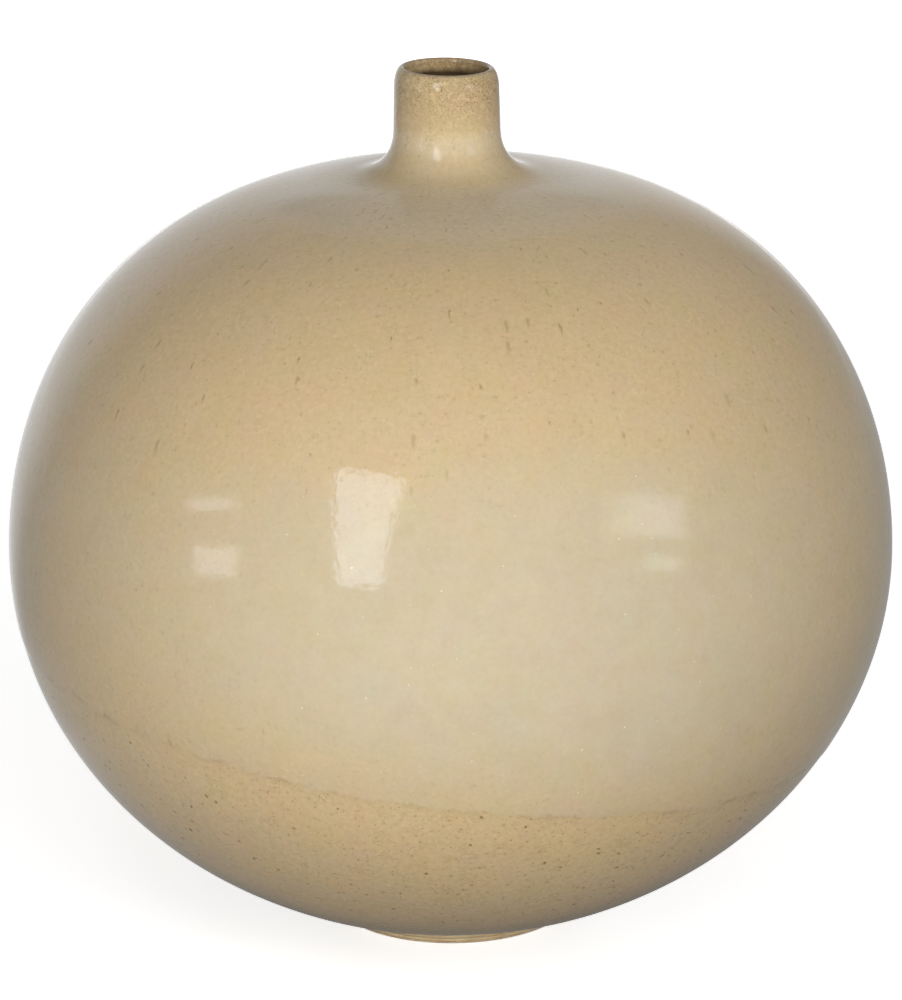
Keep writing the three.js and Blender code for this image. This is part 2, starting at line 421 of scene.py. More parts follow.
def ironRuns(add, here, cell, width, tail, share):  # specks that ran down the wall as the glaze melted
    level = add("ShaderNodeVectorMath", [here, (1, -1, 0)], operation="MULTIPLY")
    reach = add("ShaderNodeVectorMath", [level], "Value", operation="LENGTH")
    rise = add("ShaderNodeMath", [add("ShaderNodeSeparateXYZ", [here], "Z"), bellyZ], operation="SUBTRACT")
    climb = add("ShaderNodeMath", [rise, reach], operation="ARCTAN2")
    climb = add("ShaderNodeMath", [climb, radius], operation="MULTIPLY")  # way up the wall
    side = add("ShaderNodeSeparateXYZ", [level])
    around = add("ShaderNodeMath", [side, side.node.outputs["Y"]], operation="ARCTAN2")
    around = add("ShaderNodeMath", [around, marks["shoulder"] * radius], operation="MULTIPLY")  # way round it
    place = add("ShaderNodeCombineXYZ", [around, climb])
    spread = add("ShaderNodeTexVoronoi", {"Vector": place, "Scale": 1 / cell}, voronoi_dimensions="2D")
    cells = spread.node.outputs
    chance = add("ShaderNodeSeparateColor", [cells["Color"]])
    away = add("ShaderNodeVectorMath", [place, cells["Position"]], operation="SUBTRACT")
    along = add("ShaderNodeSeparateXYZ", [away], "Y")
    length = [chance.node.outputs["Blue"], 0.0, 1.0, marks["round"], width / tail]
    length = add("ShaderNodeMapRange", length)
    upper = add("ShaderNodeMapRange", [along, -width, width])
    stretch = add("ShaderNodeMix", {0: upper, 2: length, 3: marks["blunt"]})
    narrow = add("ShaderNodeCombineXYZ", [1.0, stretch])
    away = add("ShaderNodeVectorMath", [away, narrow], operation="MULTIPLY")
    distance = add("ShaderNodeVectorMath", [away], "Value", operation="LENGTH")
    broad = chance.node.outputs["Green"]
    size = add("ShaderNodeMapRange", [broad, 0.0, 1.0, marks["smallest"] * width, width])
    depth = add("ShaderNodeMapRange", [broad, 0.0, 1.0, 1.0, marks["faint"]])
    mark = add("ShaderNodeMapRange", [distance, 0.0, size, depth, 0.0], **eased)
    kept = add("ShaderNodeMath", [chance, share], operation="LESS_THAN")
    return add("ShaderNodeMath", [mark, kept], operation="MULTIPLY")


# Stoneware glaze, dipped twice and fired to a satin gloss. The first coat is ochre and lets iron through
# from the clay as specks and short runs, and the second is paler and hides them. Both are cloudy, and the
# skin has a slight orange peel, which gives the reflections ragged edges.
# Some of its tones are painted light: a grey reflection and a sheen on the crown, shade at the root of the
# neck, highlights in the flare, the pinholes and the rolled edge at the foot, and light towards the foot.
glaze = {
    "ochre": "#d9bd8e",
    "pale": "#cebfa0",
    "iron": "#916e2e",
    "thinEdge": "#a8825c",  # broken line where the second coat ends
    "rimBrown": "#7d6140",
    "insideBrown": "#4c3c28",
    # painted highlight: glints in the pinholes, a reflection in the flare and the rolled edge at the foot
    "paintedHighlight": "#f3e9d3",
    "paintedSheen": "#e9e3da",  # painted sheen round the root of the neck
    "roughness": 0.04,
    "ior": 1.5,
    "sheen": (0.5, 0.08),  # specular level, and where it is dry
    # strengths of the tones up the pot: a painted grey reflection on the crown, painted shade at the root of
    # the neck, the neck wall's darker tone, a painted sheen, a painted reflection in the flare and painted
    # light towards the foot
    "paintedCrownReflection": 0.13,
    "rootShade": 0.05,
    "wallShade": 0.09,
    "paintedSheenStrength": 0.26,
    "flarePaintedReflection": 0.22,
    "footPaintedLight": 1.38,
    # sizes of the patterns
    "cloud": 70 * mm,
    "patch": 20 * mm,
    "blotch": 9 * mm,
    "grain": 2.2 * mm,
    "peel": 2.4 * mm,
    "peelDepth": 0.065 * mm,
    # specks: cell, radius and the share of the cells that have one
    "dust": (1.6 * mm, 0.6 * mm),  # its share follows the iron
    "spots": (6 * mm, 1.4 * mm, 0.6),
    "bubbles": (6 * mm, 0.6 * mm, 0.8),
    "runs": (13 * mm, 1.7 * mm, 13 * mm, 0.22),  # cell, width, tail and share
    "sway": 2.4 * mm,  # how far the grain pulls a speck out of round
    # the second coat
    "jag": 4 * mm,  # how far the grain pulls its lower edge about
    "edgeHalf": 1.2 * mm,
    "edgeLine": (0.1 * mm, 1.6 * mm),  # thin brown line along that edge, from its middle outwards
    "thinLow": 50 * mm,  # height over which it thickens from there
    "paleFull": 208 * mm,
    "paleTop": 290 * mm,  # where it has faded out
    "drift": 40 * mm,  # how far the clouds pull that fading about
    "dipCentre": (25 * mm, -187 * mm, 165 * mm),  # where it is thickest
    "dipReach": (65 * mm, 165 * mm),  # distances from there, thick and thin
    "film": (-165 * mm, -70 * mm),  # a thin film below the line, from the left side inwards
    "leanSide": (-160 * mm, -20 * mm),  # less iron below the line, from the left side inwards
    # zones from one height to another
    # painted highlight along the rolled edge above the bare foot
    "paintedRollHighlight": (foot["glazeZ"] + 0.3 * mm, foot["glazeZ"] + 1.4 * mm),
    # painted light, brighter towards the foot
    "paintedLightFoot": (5 * mm, 26 * mm),
    "runsFrom": (215 * mm, 250 * mm),
    "mouthDrift": 14 * mm,  # how far the blotches pull that about
    "flare": crownZ + 16 * mm,  # where a painted reflection lies in the flare of the neck
    "flareReflectionHalf": (1.5 * mm, 7 * mm),
    "lipTop": (neck["rimZ"] - 3 * mm, neck["rimZ"] - 1.5 * mm),
    "lipLine": (0.7 * mm, 1.9 * mm),  # brown line, from the crest outwards
    "lipJag": 0.8 * mm,
    # darker brown down inside the neck
    "insideDark": (neck["rimZ"] - 3.5 * mm, neck["rimZ"] - 0.8 * mm),
    "insideDarkDrift": 4 * mm,
    "insideDarkWall": (neck["bore"] + 0.2 * mm, neck["bore"] + 1 * mm),
    # zones on the crown, from beside the neck to in front of it
    "rootFront": (-20 * mm, -45 * mm),
    "dryAndPaintedSheenFront": (-12 * mm, -32 * mm),
    "dryAndPaintedSheenAhead": 3.5 * mm,  # how much lower the dry zone and its painted sheen start in front
    "dullFront": (-5 * mm, -75 * mm),
}
crownZones = {  # from one height to another, in mm above the top of the globe's curve
    "dull": (-32, -2),
    "root": (-18, -3),
    "grey": (-14, -4),
    "dryAndPaintedSheen": (-8, -2.5),
    "dry": (-5, 0),
    "paintedSheenEnd": (-2, 3),
    "rootEnd": (-2, 8),
    "wet": (2, 7),
    "mouth": (12, 44),
    "greyEnd": (16, 30),
    "wall": (20, 34),
}
for name, (start, end) in crownZones.items():
    glaze[name] = (crownZ + start * mm, crownZ + end * mm)


def glazeField(add):  # places and patterns that the parts of the glaze share
    here = add("ShaderNodeTexCoord", out="Object")
    place = add("ShaderNodeSeparateXYZ", [here]).node.outputs
    field = {"here": here, "across": place["X"], "back": place["Y"], "height": place["Z"]}
    level = add("ShaderNodeVectorMath", [here, (1, 1, 0)], operation="MULTIPLY")
    field["reach"] = add("ShaderNodeVectorMath", [level], "Value", operation="LENGTH")
    for name, roughness in {"cloud": 0.5, "blotch": 0.6, "grain": 0.65}.items():
        field[name] = add("ShaderNodeTexNoise", {"Vector": here, "Scale": 1 / glaze[name], "Detail": 3.0,
                                                 "Roughness": roughness})
    # height above the edge of the second coat, jagged by the grain
    above = add("ShaderNodeMath", [field["grain"], glaze["jag"], tideDistance(add, here)],
                operation="MULTIPLY_ADD")
    field["above"] = add("ShaderNodeMath", [above, glaze["jag"] / 2], operation="SUBTRACT")
    # dry zone round the root of the neck, where a sheen is painted, furthest out in front
    ahead = add("ShaderNodeMapRange", [field["back"], *glaze["dryAndPaintedSheenFront"]])
    dryAndPaintedSheen = add("ShaderNodeMath", [ahead, glaze["dryAndPaintedSheenAhead"], field["height"]], operation="MULTIPLY_ADD")
    dryAndPaintedSheen = add("ShaderNodeMapRange", [dryAndPaintedSheen, *glaze["dryAndPaintedSheen"]], **eased)
    return {**field, "ahead": ahead, "dryAndPaintedSheen": dryAndPaintedSheen}


def secondCoat(add, field):  # a ragged lower edge, thickest at one side of the belly, no clear upper edge
    above = field["above"]
    edge = add("ShaderNodeMapRange", [above, -glaze["edgeHalf"], glaze["edgeHalf"]], **eased)
    film = add("ShaderNodeMapRange", [field["across"], *glaze["film"], 0.4, 0.0])
    edge = add("ShaderNodeMath", [edge, film], operation="MAXIMUM")
    drift = glaze["drift"]
    fadeUp = add("ShaderNodeMath", [field["cloud"], drift, field["height"]], operation="MULTIPLY_ADD")
    fadeUp = [fadeUp, glaze["paleFull"] + drift / 2, glaze["paleTop"] + drift / 2, 1.0, 0.06]
    fadeUp = add("ShaderNodeMapRange", fadeUp, **eased)
    fadeDown = add("ShaderNodeMapRange", [above, 0.0, glaze["thinLow"], 0.42, 1.0], **eased)
    off = add("ShaderNodeVectorMath", [field["here"], glaze["dipCentre"]], "Value", operation="DISTANCE")
    thick = add("ShaderNodeMapRange", [off, *glaze["dipReach"], 1.0, 0.45])
    cover = add("ShaderNodeMapRange", [field["blotch"], *noiseSpan, 0.82, 1.1])
    second = fadeUp
    for part in (fadeDown, thick, cover):
        second = add("ShaderNodeMath", [second, part], operation="MULTIPLY")
    return add("ShaderNodeMath", [second, edge], operation="MULTIPLY", use_clamp=True)


def cloudyColour(add, field, second):  # pinker and greener by turns
    colour = add("ShaderNodeMix", {0: second, 6: linear(glaze["ochre"]), 7: linear(glaze["pale"])}, 2,
                 data_type="RGBA")
    patch = add("ShaderNodeTexNoise", {"Vector": field["here"], "Scale": 1 / glaze["patch"], "Detail": 5.0,
                                       "Roughness": 0.72}, "Color")
    tint = add("ShaderNodeVectorMath", [patch, (0.16, 0.14, 0.36), (0.92, 0.93, 0.82)],
               operation="MULTIPLY_ADD")
    return add("ShaderNodeVectorMath", [colour, tint], operation="MULTIPLY")


def toneByHeight(add, field, colour):  # changes of tone up the pot
    height = field["height"]
    # painted reflection: greyer on the crown, as the grey room it mirrors
    more = glaze["paintedCrownReflection"]
    grey = add("ShaderNodeMapRange", [height, *glaze["grey"], 1.0, 1.0 + more])
    grey = add("ShaderNodeMath", [grey, add("ShaderNodeMapRange", [height, *glaze["greyEnd"], 0.0, more])],
               operation="SUBTRACT")
    grey = add("ShaderNodeCombineXYZ", [1.0, add("ShaderNodeMath", [grey, 0.4], operation="POWER"), grey])
    colour = add("ShaderNodeVectorMath", [colour, grey], operation="MULTIPLY")
    # painted shade beside the root of the neck, where the neck shades the crown, and darker a little up its
    # wall
    beside = add("ShaderNodeMapRange", [field["back"], *glaze["rootFront"], 1.0, 0.0])
    more = glaze["rootShade"]
    root = add("ShaderNodeMapRange", [height, *glaze["root"], 0.0, more])
    root = add("ShaderNodeMath", [root, add("ShaderNodeMapRange", [height, *glaze["rootEnd"], 0.0, more])],
               operation="SUBTRACT")
    root = add("ShaderNodeMath", [root, beside], operation="MULTIPLY")
    wall = add("ShaderNodeMapRange", [height, *glaze["wall"], 0.0, glaze["wallShade"]])
    root = add("ShaderNodeMath", [root, wall], operation="ADD")
    tint = add("ShaderNodeVectorMath", [root, (-1, -0.8, -0.5), (1, 1, 1)], operation="MULTIPLY_ADD")
    colour = add("ShaderNodeVectorMath", [colour, tint], operation="MULTIPLY")
    # painted sheen at the root, a painted reflection in the flare of the neck, and painted light brighter
    # towards the foot
    paintedSheen = add("ShaderNodeMapRange", [height, *glaze["paintedSheenEnd"], glaze["paintedSheenStrength"], 0.0], **eased)
    paintedSheen = add("ShaderNodeMath", [paintedSheen, field["dryAndPaintedSheen"]], operation="MULTIPLY")
    # painted reflection across the flare of the neck
    flare = add("ShaderNodeMath", [height, glaze["flare"]], operation="SUBTRACT")
    flare = add("ShaderNodeMath", [flare], operation="ABSOLUTE")
    flare = add("ShaderNodeMapRange", [flare, *glaze["flareReflectionHalf"], glaze["flarePaintedReflection"], 0.0], **eased)
    for tone, share in (("paintedSheen", paintedSheen), ("paintedHighlight", flare)):
        colour = add("ShaderNodeMix", {0: share, 6: colour, 7: linear(glaze[tone])}, 2, data_type="RGBA")
    # painted light: the colour brighter towards the foot
    thick = add("ShaderNodeMapRange", [height, *glaze["paintedLightFoot"], glaze["footPaintedLight"], 1.0])
    return add("ShaderNodeVectorMath", {"Vector": colour, "Scale": thick}, operation="SCALE")


def ironMarks(add, field, colour, second):  # where the second coat doesn't hide them
    height, blotch, grain = field["height"], field["blotch"], field["grain"]
    bare = add("ShaderNodeMapRange", [second, 0.0, 0.85, 1.0, 0.1])
    # finer light and dark, strongest at the mouth and low down
    low = add("ShaderNodeMapRange", [field["above"], -1 * mm, 1 * mm, 1.0, 0.0])
    mouth = add("ShaderNodeMath", [blotch, glaze["mouthDrift"], height], operation="MULTIPLY_ADD")
    mouth = add("ShaderNodeMapRange", [mouth, *glaze["mouth"]])
    below = add("ShaderNodeMapRange", [field["across"], *glaze["leanSide"], 0.45, 0.8])
    rich = add("ShaderNodeMix", {0: low, 2: 0.4, 3: below})
    rich = add("ShaderNodeMath", [rich, mouth], operation="MAXIMUM")
    depth = add("ShaderNodeMapRange", [rich, 0.4, 1.0, 0.3, 0.44])
    depth = add("ShaderNodeMix", {0: bare, 2: 0.11, 3: depth})
    uneven = add("ShaderNodeMath", [grain, 0.5], operation="SUBTRACT")
    shade = add("ShaderNodeMath", [uneven, depth, 1.0], operation="MULTIPLY_ADD")
    mottle = add("ShaderNodeMath", [blotch, 0.5], operation="SUBTRACT")
    soft = add("ShaderNodeMapRange", [bare, 0.1, 1.0, 0.2, 0.05])
    shade = add("ShaderNodeMath", [mottle, soft, shade], operation="MULTIPLY_ADD")
    colour = add("ShaderNodeVectorMath", {"Vector": colour, "Scale": shade}, operation="SCALE")
    # smudges and veins
    smudge = add("ShaderNodeMapRange", [grain, 0.37, 0.25, 0.0, 0.9])
    vein = add("ShaderNodeMath", [uneven], operation="ABSOLUTE")
    vein = add("ShaderNodeMapRange", [vein, 0.0, 0.035, 0.9, 0.0])
    veined = add("ShaderNodeMapRange", [blotch, 0.53, 0.7])
    veined = add("ShaderNodeMath", [mouth, 0.75, veined], operation="MULTIPLY_ADD", use_clamp=True)
    vein = add("ShaderNodeMath", [vein, veined], operation="MULTIPLY")
    smudge = add("ShaderNodeMath", [smudge, vein], operation="MAXIMUM")
    smudge = add("ShaderNodeMath", [smudge, rich], operation="MULTIPLY")
    # dust and spots, and runs on the shoulder
    ragged = add("ShaderNodeVectorMath", [grain.node.outputs["Color"], [glaze["sway"]] * 3, field["here"]],
                 operation="MULTIPLY_ADD")
    share = add("ShaderNodeMath", [rich, 0.5], operation="MULTIPLY")
    dust = ironSpecks(add, ragged, *glaze["dust"], share)
    dust = add("ShaderNodeMath", [dust, rich], operation="MULTIPLY")
    dust = add("ShaderNodeMath", [dust, 0.9], operation="MULTIPLY")
    spots = ironSpecks(add, ragged, *glaze["spots"])
    spots = add("ShaderNodeMath", [spots, add("ShaderNodeMapRange", [low, 0.0, 1.0, 0.3, 0.95])],
                operation="MULTIPLY")
    runs = ironRuns(add, ragged, *glaze["runs"])
    runs = add("ShaderNodeMath", [runs, add("ShaderNodeMapRange", [height, *glaze["runsFrom"], 0.0, 0.8])],
               operation="MULTIPLY")
    iron = dust
    for mark in (smudge, spots, runs):
        iron = add("ShaderNodeMath", [iron, mark], operation="MAXIMUM")
    iron = add("ShaderNodeMath", [iron, bare], operation="MULTIPLY")
    return add("ShaderNodeMix", {0: iron, 6: colour, 7: linear(glaze["iron"])}, 2, data_type="RGBA")


def thinAndThick(add, field, colour, second):  # edges, bubbles, the lip and the inside of the neck, with painted highlights
    height, reach, blotch = field["height"], field["reach"], field["blotch"]
    # thin brown edge of the second coat, broken up
    near = add("ShaderNodeMath", [field["above"]], operation="ABSOLUTE")
    line = add("ShaderNodeMapRange", [near, *glaze["edgeLine"], 1.0, 0.0])
    broken = add("ShaderNodeMapRange", [blotch, 0.42, 0.62, 0.0, 0.32])
    line = add("ShaderNodeMath", [line, broken], operation="MULTIPLY")
    # burst bubbles in the thick coat, with painted glints as pale dots
    hole = ironSpecks(add, field["here"], *glaze["bubbles"])
    hole = add("ShaderNodeMath", [hole, add("ShaderNodeMath", [second, 0.4], operation="MAXIMUM")],
               operation="MULTIPLY")
    # the glaze breaks thin and brown along the crest of the lip, and it is darker brown down inside the neck
    crest = neck["bore"] + neck["wall"] * neck["lipCrest"]
    off = add("ShaderNodeMath", [reach, crest], operation="SUBTRACT")
    off = add("ShaderNodeMath", [off], operation="ABSOLUTE")
    off = add("ShaderNodeMath", [field["grain"], glaze["lipJag"], off], operation="MULTIPLY_ADD")
    top = add("ShaderNodeMapRange", [height, *glaze["lipTop"]])
    lip = add("ShaderNodeMapRange", [off, *glaze["lipLine"], 0.55, 0.0])
    lip = add("ShaderNodeMath", [lip, top], operation="MULTIPLY")
    deep = add("ShaderNodeMath", [blotch, glaze["insideDarkDrift"], height], operation="MULTIPLY_ADD")
    deep = add("ShaderNodeMapRange", [deep, *glaze["insideDark"], 0.95, 0.0])
    inner = add("ShaderNodeMapRange", [reach, *glaze["insideDarkWall"], 1.0, 0.0])
    insideDark = add("ShaderNodeMath", [deep, inner], operation="MULTIPLY")
    # painted highlight along the thick rolled edge above the bare foot
    paintedRollHighlight = add("ShaderNodeMapRange", [height, *glaze["paintedRollHighlight"], 0.6, 0.0])
    layers = [("thinEdge", line), ("paintedHighlight", hole), ("rimBrown", lip), ("insideBrown", insideDark),
              ("paintedHighlight", paintedRollHighlight)]
    for tone, share in layers:
        colour = add("ShaderNodeMix", {0: share, 6: colour, 7: linear(glaze[tone])}, 2, data_type="RGBA")
    return colour


def makeGlaze():
    material, add = newMaterial("dippedStonewareGlaze")
    field = glazeField(add)
    height = field["height"]
    second = secondCoat(add, field)
    colour = cloudyColour(add, field, second)
    colour = toneByHeight(add, field, colour)
    colour = ironMarks(add, field, colour, second)
    colour = thinAndThick(add, field, colour, second)
    peel = add("ShaderNodeTexNoise", {"Vector": field["here"], "Scale": 1 / glaze["peel"], "Detail": 2.0})
    skin = add("ShaderNodeBump", {"Height": peel, "Strength": 1.0, "Distance": glaze["peelDepth"]})
    smooth = glaze["roughness"]
    gloss = add("ShaderNodeMapRange", [field["grain"], *noiseSpan, smooth - 0.01, smooth + 0.01])
    # duller on the crown in front of the neck, and dry under the painted sheen round the root and at the foot
    # of the flare
    dull = add("ShaderNodeMapRange", [height, *glaze["dull"], 0.0, 0.2], **eased)
    front = add("ShaderNodeMapRange", [field["back"], *glaze["dullFront"]], **eased)
    gloss = add("ShaderNodeMath", [dull, front, gloss], operation="MULTIPLY_ADD")
    dryAndPaintedSheen = add("ShaderNodeMath", [field["dryAndPaintedSheen"], field["ahead"]], operation="MULTIPLY")
    dry = add("ShaderNodeMapRange", [height, *glaze["dry"]], **eased)
    dry = add("ShaderNodeMath", [dry, dryAndPaintedSheen], operation="MAXIMUM")
    full, low = glaze["sheen"]
    dry = add("ShaderNodeMapRange", [dry, 0.0, 1.0, full, low])
    wet = add("ShaderNodeMapRange", [height, *glaze["wet"], 0.0, full - low], **eased)
    sheen = add("ShaderNodeMath", [dry, wet], operation="ADD")
    surface = add("ShaderNodeBsdfPrincipled", {"Base Color": colour, "Roughness": gloss, "IOR": glaze["ior"],
                                               "Specular IOR Level": sheen, "Normal": skin})
    add("ShaderNodeOutputMaterial", [surface])
    return material


# Bare fired stoneware, turned on the wheel and left dry: matt buff with toasted patches and dark grog.
clay = {
    "buff": "#f6e2b4",
    "toasted": "#dcb98e",
    "grog": "#8a6a45",
    "groove": "#6e5238",  # dust and shadow caught in the tool's lines
    "grooveFade": (0.1 * mm, 0.45 * mm),  # from the middle of a line outwards
    "roughness": 0.85,
    "patch": 9 * mm,
    "grogSpecks": (2 * mm, 0.7 * mm, 0.5),  # cell, radius and share
    "grit": 0.8 * mm,
    "gritDepth": 0.1 * mm,
}


def makeClay():
    material, add = newMaterial("turnedBareStoneware")
    here = add("ShaderNodeTexCoord", out="Object")
    cloud = add("ShaderNodeTexNoise", {"Vector": here, "Scale": 1 / clay["patch"], "Detail": 4.0})
    patch = add("ShaderNodeMapRange", [cloud, 0.35, 0.7, 0.0, 0.8])
    colour = add("ShaderNodeMix", {0: patch, 6: linear(clay["buff"]), 7: linear(clay["toasted"])}, 2,
                 data_type="RGBA")
    grog = ironSpecks(add, here, *clay["grogSpecks"])
    grog = add("ShaderNodeMath", [grog, 0.6], operation="MULTIPLY")
    colour = add("ShaderNodeMix", {0: grog, 6: colour, 7: linear(clay["grog"])}, 2, data_type="RGBA")
    height = add("ShaderNodeSeparateXYZ", [here], "Z")
    for groove in foot["grooves"]:
        off = add("ShaderNodeMath", [height, groove], operation="SUBTRACT")
        off = add("ShaderNodeMath", [off], operation="ABSOLUTE")
        line = add("ShaderNodeMapRange", [off, *clay["grooveFade"], 0.4, 0.0])
        colour = add("ShaderNodeMix", {0: line, 6: colour, 7: linear(clay["groove"])}, 2, data_type="RGBA")
    grit = add("ShaderNodeTexNoise", {"Vector": here, "Scale": 1 / clay["grit"], "Detail": 3.0})
    skin = add("ShaderNodeBump", {"Height": grit, "Strength": 0.5, "Distance": clay["gritDepth"]})
    surface = add("ShaderNodeBsdfPrincipled", {"Base Color": colour, "Roughness": clay["roughness"],
                                               "Normal": skin})
    add("ShaderNodeOutputMaterial", [surface])
    return material


# Joining slip, brushed on and fired: the same clay without its grog, paler and chalky.
joiningSlip = {
    "cream": "#c4ab80",
    "shadow": "#a58a60",
    "roughness": 0.9,
    "brush": 3 * mm,
    "brushDepth": 0.1 * mm,
}


def makeSlip():
    material, add = newMaterial("firedJoiningSlip")
    here = add("ShaderNodeTexCoord", out="Object")
    brush = add("ShaderNodeTexNoise", {"Vector": here, "Scale": 1 / joiningSlip["brush"], "Detail": 3.0})
    colour = add("ShaderNodeMix", {0: brush, 6: linear(joiningSlip["cream"]),
                                   7: linear(joiningSlip["shadow"])}, 2, data_type="RGBA")
    skin = add("ShaderNodeBump", {"Height": brush, "Strength": 0.4, "Distance": joiningSlip["brushDepth"]})
    surface = add("ShaderNodeBsdfPrincipled", {"Base Color": colour, "Roughness": joiningSlip["roughness"],
                                               "Normal": skin})
    add("ShaderNodeOutputMaterial", [surface])
    return material


glazed, bareClay, firedSlip = makeGlaze(), makeClay(), makeSlip()

throwing = {
    "Wobble": 0.3 * mm,
    "Wobble Size": 90 * mm,
    "Second Coat": tide["step"],
    "Settle Height": 40 * mm,
    "Rim": neck["rimZ"],
    "Seed": 4.0,
    "Bare Clay": bareClay,
}
bowlWheel = {"Segments": body["segments"], "Finish": glazed, "Glaze Edge": foot["glazeZ"],
             "Edge Wave": foot["glazeWave"], "Bare Radius": body["baseRadius"] + nudge,
             "Bare Height": body["baseZ"] + 2 * foot["baseLineDepth"]}
domeWheel = {"Segments": body["segments"], "Finish": glazed}
neckWheel = {"Segments": neck["segments"], "Finish": glazed, "Rim Tilt": neck["rimTilt"]}
footWheel = {"Segments": foot["segments"], "Finish": bareClay}
pieces = [
    ("glazed_lower_bowl", bowlProfile(), bowlWheel, "lower_bowl", "glaze"),
    ("glazed_upper_dome", domeProfile(), domeWheel, "upper_dome", "glaze"),
    ("glazed_neck", neckProfile(), neckWheel, "neck", "glaze"),
    ("turned_foot_ring", footProfile(), footWheel, "foot_ring", "bare_clay"),
]
for name, profile, values, node, slot in pieces:
    piece = turnPiece(name, profile, {**throwing, **values})
    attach(piece, "root")
    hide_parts(node)
for node in ("foot_joint_slip", "belly_joint_slip", "neck_joint_slip"):
    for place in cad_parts[node].material_slots:
        place.material = firedSlip
print("pieces ride on the root body")


# Stage: pale paper floor and soft lamps in a white room. What the glaze mirrors of the paper and the room
# is as grey as it is in the photo, and darker on the right.
studio = {
    "floorSize": 20.0,
    "paper": "#e8e8e8",
    "paperGlow": 0.75,  # so that the paper looks white and still takes the shadow
    "bounce": "#757575",  # the paper as the lamps' light finds it
    # what the glaze mirrors
    "mirroredPaper": (0.6, 0.24),  # near the pot, left and right
    "paperSpan": 0.4,  # metres to each side
    "potShade": (0.08, 0.25, 0.3, 1.0),  # the pot's own shade on it, from near to far
    "paperEnd": (0.22, 0.5),  # where it turns into the foot of the walls
    "farShade": (0.5, 2.5, 0.78, 1.0),  # and how that is shaded, from near to far
    "mirroredWalls": (0.58, 0.38),  # left and right
    "wallSpan": 0.6,
    "mirroredScreen": 0.46,  # a white screen behind the pot adds this much
    "screenWay": (-0.25, 0.96, 0.13),
    "screenEdge": (0.78, 0.95),
    "mirroredTop": 0.65,
    "topEdge": (0.3, 0.7),  # how far up the walls turn into it
    "ambient": 0.1,
    "daylight": "#e4f0ff",  # of the lamps that the glaze mirrors
    "lampAim": 30 * mm,  # height above the belly joint that the lamps are placed from
}


def mirroredWalls(add, way):  # what the glaze mirrors at the foot of the walls, by its way off the pot
    side = add("ShaderNodeSeparateXYZ", [way])
    span = studio["wallSpan"]
    walls = add("ShaderNodeMapRange", [side, -span, span, *studio["mirroredWalls"]])
    near = add("ShaderNodeVectorMath", [way, studio["screenWay"]], "Value", operation="DOT_PRODUCT")
    screen = add("ShaderNodeMapRange", [near, *studio["screenEdge"]], **eased)
    return add("ShaderNodeMath", [screen, studio["mirroredScreen"], walls], operation="MULTIPLY_ADD")


def makeFloor():
    material, add = newMaterial("palePaper")
    path = add("ShaderNodeLightPath").node.outputs
    seen = add("ShaderNodeMath", [path["Is Camera Ray"], path["Is Transmission Ray"]], operation="MAXIMUM")
    here = add("ShaderNodeTexCoord", out="Object")
    side = add("ShaderNodeSeparateXYZ", [here])
    span = studio["paperSpan"]
    near = add("ShaderNodeMapRange", [side, -span, span, *studio["mirroredPaper"]])
    away = add("ShaderNodeVectorMath", [here], "Value", operation="LENGTH")
    shaded = add("ShaderNodeMapRange", [away, *studio["potShade"]])
    near = add("ShaderNodeMath", [near, shaded], operation="MULTIPLY")
    far = mirroredWalls(add, add("ShaderNodeVectorMath", [here], operation="NORMALIZE"))
    far = add("ShaderNodeMath", [far, add("ShaderNodeMapRange", [away, *studio["farShade"]])],
              operation="MULTIPLY")
    past = add("ShaderNodeMapRange", [away, *studio["paperEnd"]])
    mirrored = add("ShaderNodeMix", {0: past, 2: near, 3: far})
    glow = add("ShaderNodeMath", [seen, studio["paperGlow"]], operation="MULTIPLY")
    glow = add("ShaderNodeMath", [path["Is Glossy Ray"], mirrored, glow], operation="MULTIPLY_ADD")
    colour = add("ShaderNodeMix", {0: seen, 6: linear(studio["bounce"]), 7: linear(studio["paper"])}, 2,
                 data_type="RGBA")
    paper = add("ShaderNodeBsdfDiffuse", {"Color": colour})
    light = add("ShaderNodeEmission", {"Strength": glow})
    add("ShaderNodeOutputMaterial", [add("ShaderNodeAddShader", [paper, light])])
    half = studio["floorSize"] / 2
    mesh = bpy.data.meshes.new("paper_floor")
    corners = [(-half, -half, 0), (half, -half, 0), (half, half, 0), (-half, half, 0)]
    mesh.from_pydata(corners, [], [(0, 1, 2, 3)])
    mesh.materials.append(material)
    floor = bpy.data.objects.new("paper_floor", mesh)
    scene.collection.objects.link(floor)


def makeRoom():
    room = bpy.data.worlds.new("whiteRoom")
    add = emptyTree(room)
    path = add("ShaderNodeLightPath").node.outputs
    seen = add("ShaderNodeMath", [path["Is Camera Ray"], path["Is Transmission Ray"]], operation="MAXIMUM")
    way = add("ShaderNodeTexCoord", out="Generated")
    up = add("ShaderNodeMapRange", [add("ShaderNodeSeparateXYZ", [way], "Z"), *studio["topEdge"]])
    mirrored = add("ShaderNodeMix", {0: up, 2: mirroredWalls(add, way), 3: studio["mirroredTop"]})
    level = add("ShaderNodeMix", {0: path["Is Glossy Ray"], 2: studio["ambient"], 3: mirrored})
    level = add("ShaderNodeMath", [seen, level], operation="MAXIMUM")
    add("ShaderNodeOutputWorld", [add("ShaderNodeBackground", {"Color": (1, 1, 1, 1), "Strength": level})])
    scene.world = room


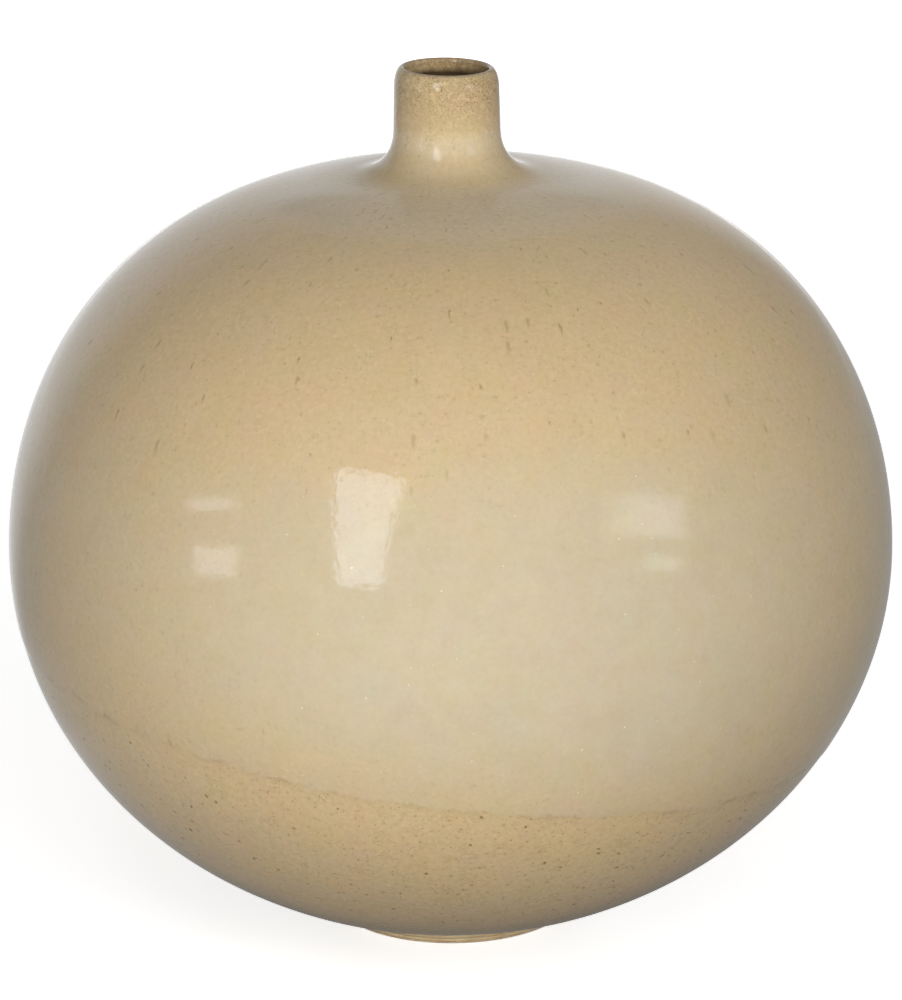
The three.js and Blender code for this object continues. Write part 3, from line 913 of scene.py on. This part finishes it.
# Each lamp by the way the belly sees it: degrees left or right of the front, degrees up, metres off,
# width and height in metres, degrees of forward lean and of roll, brightness of its face, how far in its
# edge is soft, as a share of its size, and whether the glaze mirrors it or the clay is lit by it
lamps = {
    "keySoftbox": (-22.4, 19.6, 1.7, 0.44, 1.33, -43, 0, 3.3, 0.02, True),
    "leftWindow": (-59.3, 6.1, 1.8, 0.5, 0.28, 0, 14, 2.4, 0.15, True),
    "leftPane": (-64.8, 19.4, 1.8, 0.67, 0.13, 0, 20, 2.2, 0.3, True),
    "rightCard": (52.3, 19.4, 1.8, 0.95, 0.5, 0, -18, 1.9, 0.3, True),
    "rightPane": (52.8, 6.6, 1.8, 0.53, 0.18, 0, -14, 2.4, 0.4, True),
    "frontPanel": (22, 22, 2.6, 3.0, 1.1, 0, 0, 1.77, 0, False),
    "rightPanel": (42, 22, 2.6, 1.8, 1.1, 0, 0, 1.1, 0, False),
    "highPanel": (0, 48, 2.6, 1.8, 0.9, 0, 0, 3.0, 0, False),
    "lowCard": (-14, -9, 0.65, 0.9, 0.18, 0, 0, 4.4, 0, False),
    "backPanel": (180, 0, 2.6, 1.3, 0.45, 0, 0, 17, 0, False),
}


def softenEdge(data, soft):  # the lamp's face dims towards its edge
    add = emptyTree(data)
    place = add("ShaderNodeNewGeometry", out="Parametric")
    inward = add("ShaderNodeVectorMath", [place, (0.5, 0.5, 0)], operation="SUBTRACT")
    inward = add("ShaderNodeVectorMath", [inward], operation="ABSOLUTE")
    across = add("ShaderNodeSeparateXYZ", [inward])
    sides = [add("ShaderNodeMapRange", [across.node.outputs[axis], 0.5 - soft, 0.5, 1.0, 0.0],
                 **eased) for axis in "XY"]
    level = add("ShaderNodeMath", sides, operation="MULTIPLY")
    add("ShaderNodeOutputLight", [add("ShaderNodeEmission", {"Strength": level})])


def placeLamps():
    for name, (turn, up, far, width, height, lean, roll, bright, soft, mirrored) in lamps.items():
        turn, up = radians(turn), radians(up)
        side = Vector((sin(turn), -cos(turn), 0))
        way = side * cos(up) + Vector((0, 0, sin(up)))
        data = bpy.data.lights.new(name, "AREA")
        data.shape = "RECTANGLE"
        data.size, data.size_y = width, height
        data.energy = 4 * width * height * bright  # an area lamp's face is its power over four times its area
        if soft:
            softenEdge(data, soft)
        lamp = bpy.data.objects.new(name, data)
        scene.collection.objects.link(lamp)
        facing = way.to_track_quat("Z", "Y").to_matrix().to_4x4()
        turned = Matrix.Rotation(radians(lean), 4, "X") @ Matrix.Rotation(radians(roll), 4, "Z")
        stand = side * radius + Vector((0, 0, bellyZ + studio["lampAim"])) + way * far
        lamp.matrix_world = Matrix.Translation(stand) @ facing @ turned
        lamp.visible_camera = False
        lamp.visible_glossy = mirrored
        lamp.visible_diffuse = not mirrored
        if mirrored:
            data.color = linear(studio["daylight"])[:3]


# The photographer stood about two metres off, looking a little down
camera = {
    "distance": 1.9,
    "height": 771.5 * mm,
    "pitch": radians(17.16),
    "roll": radians(-0.5),
    "lens": 165.68,  # on a frame 36 mm high
    "shift": 0.0008,
    "farthest": 100.0,
}


def placeCamera():
    data = bpy.data.cameras.new("camera")
    data.lens = camera["lens"]
    data.shift_x = camera["shift"]
    data.clip_end = camera["farthest"]
    holder = bpy.data.objects.new("camera", data)
    scene.collection.objects.link(holder)
    aim = Matrix.Rotation(pi / 2 - camera["pitch"], 4, "X") @ Matrix.Rotation(camera["roll"], 4, "Z")
    holder.matrix_world = Matrix.Translation((0, -camera["distance"], camera["height"])) @ aim
    scene.camera = holder


makeFloor()
makeRoom()
placeLamps()
placeCamera()
scene.view_settings.view_transform = "Standard"
print("stage, lamps and camera are set")
